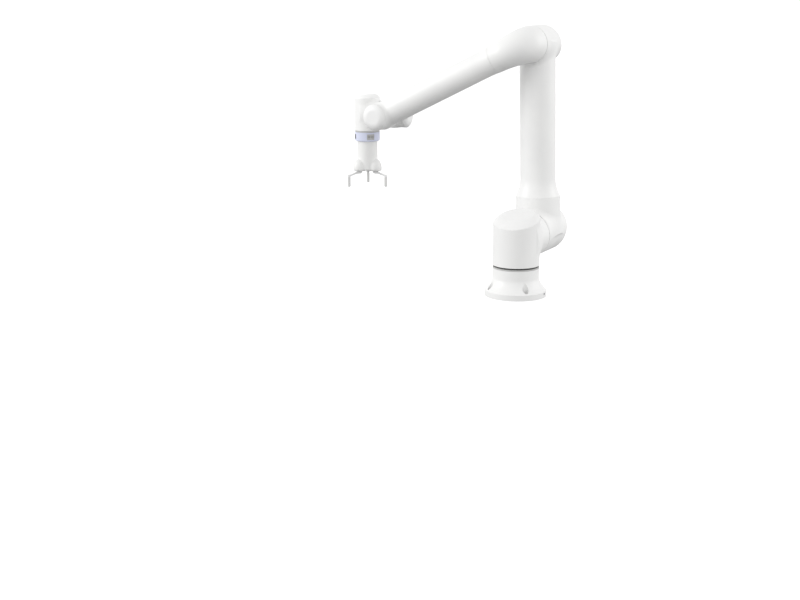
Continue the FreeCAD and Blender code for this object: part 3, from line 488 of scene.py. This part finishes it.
def material(name, colour, roughness, metallic=0.0):
    """A principled material and a helper that adds nodes to it."""
    made = bpy.data.materials.new(name)
    made.use_nodes = True
    shader = made.node_tree.nodes["Principled BSDF"]
    shader.inputs["Base Color"].default_value = (*colour, 1)
    shader.inputs["Roughness"].default_value = roughness
    shader.inputs["Metallic"].default_value = metallic
    return made, shader


def noise(tree, scale, detail=4.0, rough=0.55):
    coordinates = tree.nodes.new("ShaderNodeTexCoord")
    texture = tree.nodes.new("ShaderNodeTexNoise")
    texture.inputs["Scale"].default_value = scale
    texture.inputs["Detail"].default_value = detail
    texture.inputs["Roughness"].default_value = rough
    tree.links.new(coordinates.outputs["Object"], texture.inputs["Vector"])
    return texture.outputs["Fac"]


def spread(tree, factor, low, high, start=0.3, end=0.7):
    """Map a noise factor onto a range of numbers."""
    mapped = tree.nodes.new("ShaderNodeMapRange")
    mapped.inputs["From Min"].default_value = start
    mapped.inputs["From Max"].default_value = end
    mapped.inputs["To Min"].default_value = low
    mapped.inputs["To Max"].default_value = high
    tree.links.new(factor, mapped.inputs["Value"])
    return mapped.outputs["Result"]


def mix_colours(tree, factor, first, second):
    mixed = tree.nodes.new("ShaderNodeMix")
    mixed.data_type = "RGBA"
    mixed.inputs["A"].default_value = (*first, 1)
    mixed.inputs["B"].default_value = (*second, 1)
    tree.links.new(factor, mixed.inputs["Factor"])
    return mixed.outputs["Result"]


def bump(tree, shader, factor, strength, distance):
    bumped = tree.nodes.new("ShaderNodeBump")
    bumped.inputs["Strength"].default_value = strength
    bumped.inputs["Distance"].default_value = distance
    tree.links.new(factor, bumped.inputs["Height"])
    tree.links.new(bumped.outputs["Normal"], shader.inputs["Normal"])


def varied(name, colour, shade, roughness, grain_scale, grain_strength, metallic=0.0, coat=0.0):
    """Colour drifts softly between two shades, roughness wanders, and a fine grain bumps it."""
    made, shader = material(name, colour, roughness[0], metallic)
    tree = made.node_tree
    drift = noise(tree, 9.0, 3.0)
    colours = mix_colours(tree, spread(tree, drift, 0, 1), colour, shade)
    tree.links.new(colours, shader.inputs["Base Color"])
    patches = noise(tree, 38.0, 5.0)
    tree.links.new(spread(tree, patches, *roughness), shader.inputs["Roughness"])
    bump(tree, shader, noise(tree, grain_scale, 2.0), grain_strength, 0.0002)
    shader.inputs["Coat Weight"].default_value = coat
    shader.inputs["Coat Roughness"].default_value = 0.25
    return made


white_paint = varied("white_paint", (0.86, 0.86, 0.85), (0.83, 0.83, 0.825), (0.36, 0.46), 1400, 0.10,
                     coat=0.15)
cap_paint = varied("cap_paint", (0.85, 0.85, 0.845), (0.82, 0.82, 0.815), (0.40, 0.50), 1100, 0.12)
seal_rubber = varied("seal_rubber", (0.16, 0.16, 0.165), (0.13, 0.13, 0.135), (0.55, 0.72), 900, 0.2)
ring_grey = varied("ring_grey", (0.52, 0.52, 0.51), (0.48, 0.48, 0.47), (0.42, 0.58), 900, 0.15)
ground_steel = varied("ground_steel", (0.60, 0.60, 0.61), (0.52, 0.52, 0.53), (0.26, 0.38), 500, 0.15, 1.0)
motor_black = varied("motor_black", (0.05, 0.05, 0.055), (0.07, 0.07, 0.075), (0.4, 0.55), 700, 0.2)
alloy = varied("alloy", (0.74, 0.75, 0.76), (0.68, 0.69, 0.70), (0.30, 0.42), 600, 0.12, 1.0)
lavender = varied("lavender", (0.66, 0.69, 0.84), (0.64, 0.67, 0.82), (0.34, 0.44), 1300, 0.08, coat=0.1)
panel_grey = varied("panel_grey", (0.50, 0.50, 0.49), (0.46, 0.46, 0.45), (0.5, 0.65), 1500, 0.3)
dark_plastic = varied("dark_plastic", (0.06, 0.06, 0.065), (0.09, 0.09, 0.095), (0.45, 0.6), 1500, 0.3)
gripper_white = varied("gripper_white", (0.84, 0.84, 0.83), (0.81, 0.81, 0.80), (0.36, 0.46), 1500, 0.1)
finger_metal = varied("finger_metal", (0.80, 0.80, 0.80), (0.76, 0.76, 0.76), (0.34, 0.44), 900, 0.08)
tip_rubber = varied("tip_rubber", (0.72, 0.72, 0.71), (0.68, 0.68, 0.67), (0.5, 0.62), 1300, 0.25)
SLOT_MATERIALS = {
    "white_paint": white_paint, "cap_paint": cap_paint, "seal": seal_rubber, "steel": ground_steel,
    "drive_alloy": alloy, "motor_can": motor_black, "tool_ring": lavender,
    "grey_plastic": panel_grey, "dark_plastic": dark_plastic, "gripper_white": gripper_white,
    "finger_metal": finger_metal, "tip_rubber": tip_rubber}


def paint(piece, made):
    piece.data.materials.clear()
    piece.data.materials.append(made)


def finish_cad_nodes():
    """Every carried-over CAD node gets its slot's material, and the two thick rings get grey."""
    slots = {entry["node"]: entry["material_slot"] for entry in frame["record"]["subparts"]}
    for name, piece in nodes.items():
        for index in range(len(piece.material_slots)):
            piece.material_slots[index].material = SLOT_MATERIALS[slots[name]]
    for name in ("base_joint_seal_ring", "wrist_3_joint_seal_ring"):
        nodes[name].material_slots[0].material = ring_grey


# ---- build --------------------------------------------------------------------------------

TURNED = {"forearm": np.stack([FOREARM_DIRECTION, BACK, np.cross(FOREARM_DIRECTION, BACK)], axis=1),
          "arm": np.stack([np.cross(BACK, ARM_DIRECTION), BACK, ARM_DIRECTION], axis=1)}


def field_piece(name, field, centre, reach, cell, body, slot, replaced, turn=None):
    """Mesh a field within reach of centre, ride it on its body and hide the CAD node."""
    centre = np.array(centre, float)
    frame_centre = centre if turn is None else turn.T @ centre
    low = frame_centre - np.array(reach[0])
    high = frame_centre + np.array(reach[1])
    piece = solid(name, field, low, high, cell, turn)
    paint(piece, SLOT_MATERIALS[slot])
    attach(piece, body)
    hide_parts(replaced)
    return piece


def cap_piece(name, shape, cell, body, replaced):
    """Mesh the end cap of a casing, in a cube that holds all of it."""
    reach = 1.25 * shape.radius + shape.flat
    cube = (reach, reach, reach)
    field_piece(name, shape.cap_shell, shape.centre, (cube, cube), cell, body, "cap_paint", replaced)


finish_cad_nodes()

BASE_TOP_GAP = ring_span("base_joint_seal_ring", SHOULDER, UP)[1] + JOINT_GAP
SHOULDER_SEAM = ring_span("shoulder_joint_seal_ring", SHOULDER, BACK)
ELBOW_SEAM = ring_span("elbow_joint_seal_ring", ARM_TOP, BACK)
WRIST_1_SEAM = ring_span("wrist_1_joint_seal_ring", FOREARM_END, BACK)
WRIST_2_SEAM = ring_span("wrist_2_joint_seal_ring", WRIST_1, -RIGHT)
WRIST_3_SEAM = ring_span("wrist_3_joint_seal_ring", WRIST_2, -UP)

CELL = 2 * MM     # size of the meshing grid


def span(right, back, up):
    """Half box of a field, in metres, from millimetres either side."""
    return np.array(right[:1] + back[:1] + up[:1]) * MM, np.array(right[1:] + back[1:] + up[1:]) * MM


shoulder_far = ring_span("shoulder_joint_seal_ring", ARM_FOOT, BACK)[1] + JOINT_GAP
field_piece("shoulder_casing_smooth",
            casing_shell(turret, [(SHOULDER, -UP, -BASE_TOP_GAP, EDGE),
                                  (SHOULDER, BACK, SHOULDER_SEAM[0], EDGE)]),
            SHOULDER, span((95, 95), (95, 132), (94, 115)), CELL, "turret", "white_paint",
            "shoulder_casing")
cap_piece("shoulder_cap_smooth", turret, CELL, "turret", "shoulder_end_cap")

field_piece("upper_arm_foot_smooth",
            casing_shell(arm_foot, [(ARM_FOOT, -BACK, -shoulder_far, EDGE),
                                    (ARM_FOOT, ARM_DIRECTION, ARM_SPLIT, SPLIT_EDGE)]),
            ARM_FOOT, span((100, 100), (93, 130), (100, 150)), CELL, "upper_arm", "white_paint",
            "upper_arm_foot_casing")
cap_piece("upper_arm_foot_cap_smooth", arm_foot, CELL, "upper_arm", "upper_arm_foot_end_cap")

arm_link = link_shell(arm_top, ARM_FOOT, ARM_DIRECTION, ARM_SPLIT, ARM_SPLIT_RADIUS, ARM_FLARE_END,
                      ARM_TOP + BACK * ELBOW_SEAM[1], -BACK)
field_piece("upper_arm_link_smooth", arm_link, ARM_FOOT + ARM_DIRECTION * ARM_LENGTH / 2,
            (np.array([95, 95, ARM_LENGTH / 2 / MM - 125]) * MM,
             np.array([95, 110, ARM_LENGTH / 2 / MM + 80]) * MM),
            CELL, "upper_arm", "white_paint", "upper_arm_link", TURNED["arm"])
cap_piece("upper_arm_top_cap_smooth", arm_top, CELL, "upper_arm", "upper_arm_top_end_cap")

elbow_start = ARM_TOP + BACK * (ELBOW_SEAM[0] - JOINT_GAP)
field_piece("forearm_elbow_smooth", elbow_bend(elbow_start), FOREARM_ROOT,
            (np.array([80, 70, 80]) * MM, np.array([132, 90, 80]) * MM), CELL, "forearm",
            "white_paint", "forearm_elbow_casing", TURNED["forearm"])
forearm_shell = link_shell(forearm_end, FOREARM_ROOT, FOREARM_DIRECTION, FOREARM_SPLIT,
                           FOREARM_SPLIT_RADIUS, FOREARM_FLARE_END,
                           FOREARM_END + BACK * WRIST_1_SEAM[0], BACK)
field_piece("forearm_link_smooth", forearm_shell, FOREARM_ROOT + FOREARM_DIRECTION * FOREARM_LENGTH / 2,
            (np.array([FOREARM_LENGTH / 2 / MM - 110, 85, 62]) * MM,
             np.array([FOREARM_LENGTH / 2 / MM + 60, 62, 62]) * MM),
            CELL, "forearm", "white_paint", "forearm_link", TURNED["forearm"])
cap_piece("forearm_cap_smooth", forearm_end, CELL, "forearm", "forearm_end_cap")

wrist_1_start = ring_span("wrist_1_joint_seal_ring", WRIST_1, BACK)
wrist_2_start = ring_span("wrist_2_joint_seal_ring", WRIST_2, RIGHT)
wrist_1_cuts = [(WRIST_1, -BACK, -wrist_1_start[1] - JOINT_GAP, EDGE),
                (WRIST_1, -RIGHT, WRIST_2_SEAM[0], EDGE)]
field_piece("wrist_1_smooth", casing_shell(wrist_1, wrist_1_cuts), WRIST_1,
            span((62, 84), (56, 60), (56, 56)), 0.8 * CELL, "wrist_1", "white_paint", "wrist_1_casing")
cap_piece("wrist_1_cap_smooth", wrist_1, 0.8 * CELL, "wrist_1", "wrist_1_end_cap")

wrist_2_cuts = [(WRIST_2, RIGHT, wrist_2_start[0] - JOINT_GAP, EDGE),
                (WRIST_2, -UP, WRIST_3_SEAM[0], EDGE)]
field_piece("wrist_2_smooth", casing_shell(wrist_2, wrist_2_cuts), WRIST_2,
            span((56, 68), (56, 56), (75, 84)), 0.8 * CELL, "wrist_2", "white_paint", "wrist_2_casing")
cap_piece("wrist_2_cap_smooth", wrist_2, 0.8 * CELL, "wrist_2", "wrist_2_end_cap")

tool_bottom = np.array([WRIST_2[0], WRIST_2[1], GRIPPER_LOW])
field_piece("gripper_body_smooth", gripper_body_field, tool_bottom,
            span((76, 76), (76, 76), (2, (GRIPPER_TOP - GRIPPER_LOW) / MM + 2)), 0.6 * CELL, "tool",
            "gripper_white", "gripper_body")
field_piece("gripper_cover_smooth", gripper_cover_field, tool_bottom,
            span((76, 76), (76, 76), (2, 14)), 0.5 * CELL, "tool", "gripper_white",
            "gripper_lower_cover")

for finger_number in (1, 2, 3):
    finger_node = "finger_%d_arm" % finger_number
    finger_low, finger_high = (np.array(corner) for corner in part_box(finger_node))
    finger_middle = (finger_low + finger_high) / 2
    half = (finger_high - finger_low) / 2 + 3 * MM
    field_piece(finger_node + "_smooth", finger_field(finger_number), finger_middle, (half, half),
                0.35 * CELL, "finger_%d" % finger_number, "finger_metal", finger_node)


# ---- floor, light and camera --------------------------------------------------------------

FLOOR_GLOW = 0.35
FLOOR_SIZE = 600
FLOOR_DROP = 0.0005                # keeps the sheet clear of the base's underside
ARM_MIDDLE = (0, 0, 0.6)


def pale_floor():
    """A wide pale sheet that neither tints nor lights the arm from below."""
    bpy.ops.mesh.primitive_grid_add(x_subdivisions=2, y_subdivisions=2, size=FLOOR_SIZE)
    floor = bpy.context.object
    floor.name = "floor"
    floor.location.z = -FLOOR_DROP
    paper = varied("floor_white", (0.88, 0.88, 0.88), (0.87, 0.87, 0.87), (0.62, 0.72), 300, 0.05)
    shader = paper.node_tree.nodes["Principled BSDF"]
    shader.inputs["Emission Color"].default_value = (1, 1, 1, 1)
    shader.inputs["Emission Strength"].default_value = FLOOR_GLOW
    paint(floor, paper)
    floor.visible_diffuse = False
    floor.visible_glossy = False


def soft_box(name, place, target, size, power):
    """A rectangular area lamp at place that faces target."""
    lamp = bpy.data.lights.new(name, "AREA")
    lamp.shape = "RECTANGLE"
    lamp.size, lamp.size_y = size
    lamp.energy = power
    holder = bpy.data.objects.new(name, lamp)
    holder.location = place
    holder.rotation_euler = (Vector(target) - Vector(place)).to_track_quat("-Z", "Y").to_euler()
    bpy.context.scene.collection.objects.link(holder)


def surroundings(below, level, above):
    """Even studio light that falls off towards the ground."""
    world = bpy.data.worlds.new("studio")
    world.use_nodes = True
    tree = world.node_tree
    background = tree.nodes["Background"]
    coordinates = tree.nodes.new("ShaderNodeTexCoord")
    parts = tree.nodes.new("ShaderNodeSeparateXYZ")
    ramp = tree.nodes.new("ShaderNodeValToRGB")
    remap = tree.nodes.new("ShaderNodeMapRange")
    remap.inputs["From Min"].default_value = -1
    tree.links.new(coordinates.outputs["Generated"], parts.inputs["Vector"])
    tree.links.new(parts.outputs["Z"], remap.inputs["Value"])
    tree.links.new(remap.outputs["Result"], ramp.inputs["Fac"])
    tree.links.new(ramp.outputs["Color"], background.inputs["Color"])
    ramp.color_ramp.elements[0].color = (below, below, below, 1)
    ramp.color_ramp.elements[1].color = (above, above, above, 1)
    middle = ramp.color_ramp.elements.new(0.5)
    middle.color = (level, level, level, 1)
    bpy.context.scene.world = world


AZIMUTH = math.radians(27.95)      # the camera's bearing and height above the horizon
ELEVATION = math.radians(13.15)
LENS = 61.04                       # focal length in millimetres
AIM_RIGHT = 0.4589                 # where the base stands from the view's centre, in metres
AIM_DOWN = -0.0215
DISTANCE = 5.399


def studio_camera():
    """A level camera, placed so that the base stands right of centre, as an arm beside its work."""
    right = Vector((math.cos(AZIMUTH), math.sin(AZIMUTH), 0))
    forward = Vector((-math.sin(AZIMUTH) * math.cos(ELEVATION), math.cos(AZIMUTH) * math.cos(ELEVATION),
                      -math.sin(ELEVATION)))
    down = forward.cross(right)
    lens = bpy.data.cameras.new("camera")
    lens.sensor_width = 36
    lens.lens = LENS
    holder = bpy.data.objects.new("camera", lens)
    place = -(right * AIM_RIGHT + down * AIM_DOWN + forward * DISTANCE)
    turn = Matrix((right, -down, -forward)).transposed().to_4x4()
    holder.matrix_world = Matrix.Translation(place) @ turn
    bpy.context.scene.collection.objects.link(holder)
    bpy.context.scene.camera = holder


pale_floor()
surroundings(below=0.0, level=1.12, above=0.84)
soft_box("key", (-5.0, -3.0, 2.5), ARM_MIDDLE, (3, 3), 120)
soft_box("rim", (4.5, 3.0, 2.5), ARM_MIDDLE, (2, 4), 60)
studio_camera()
bpy.context.scene.view_settings.view_transform = "Standard"
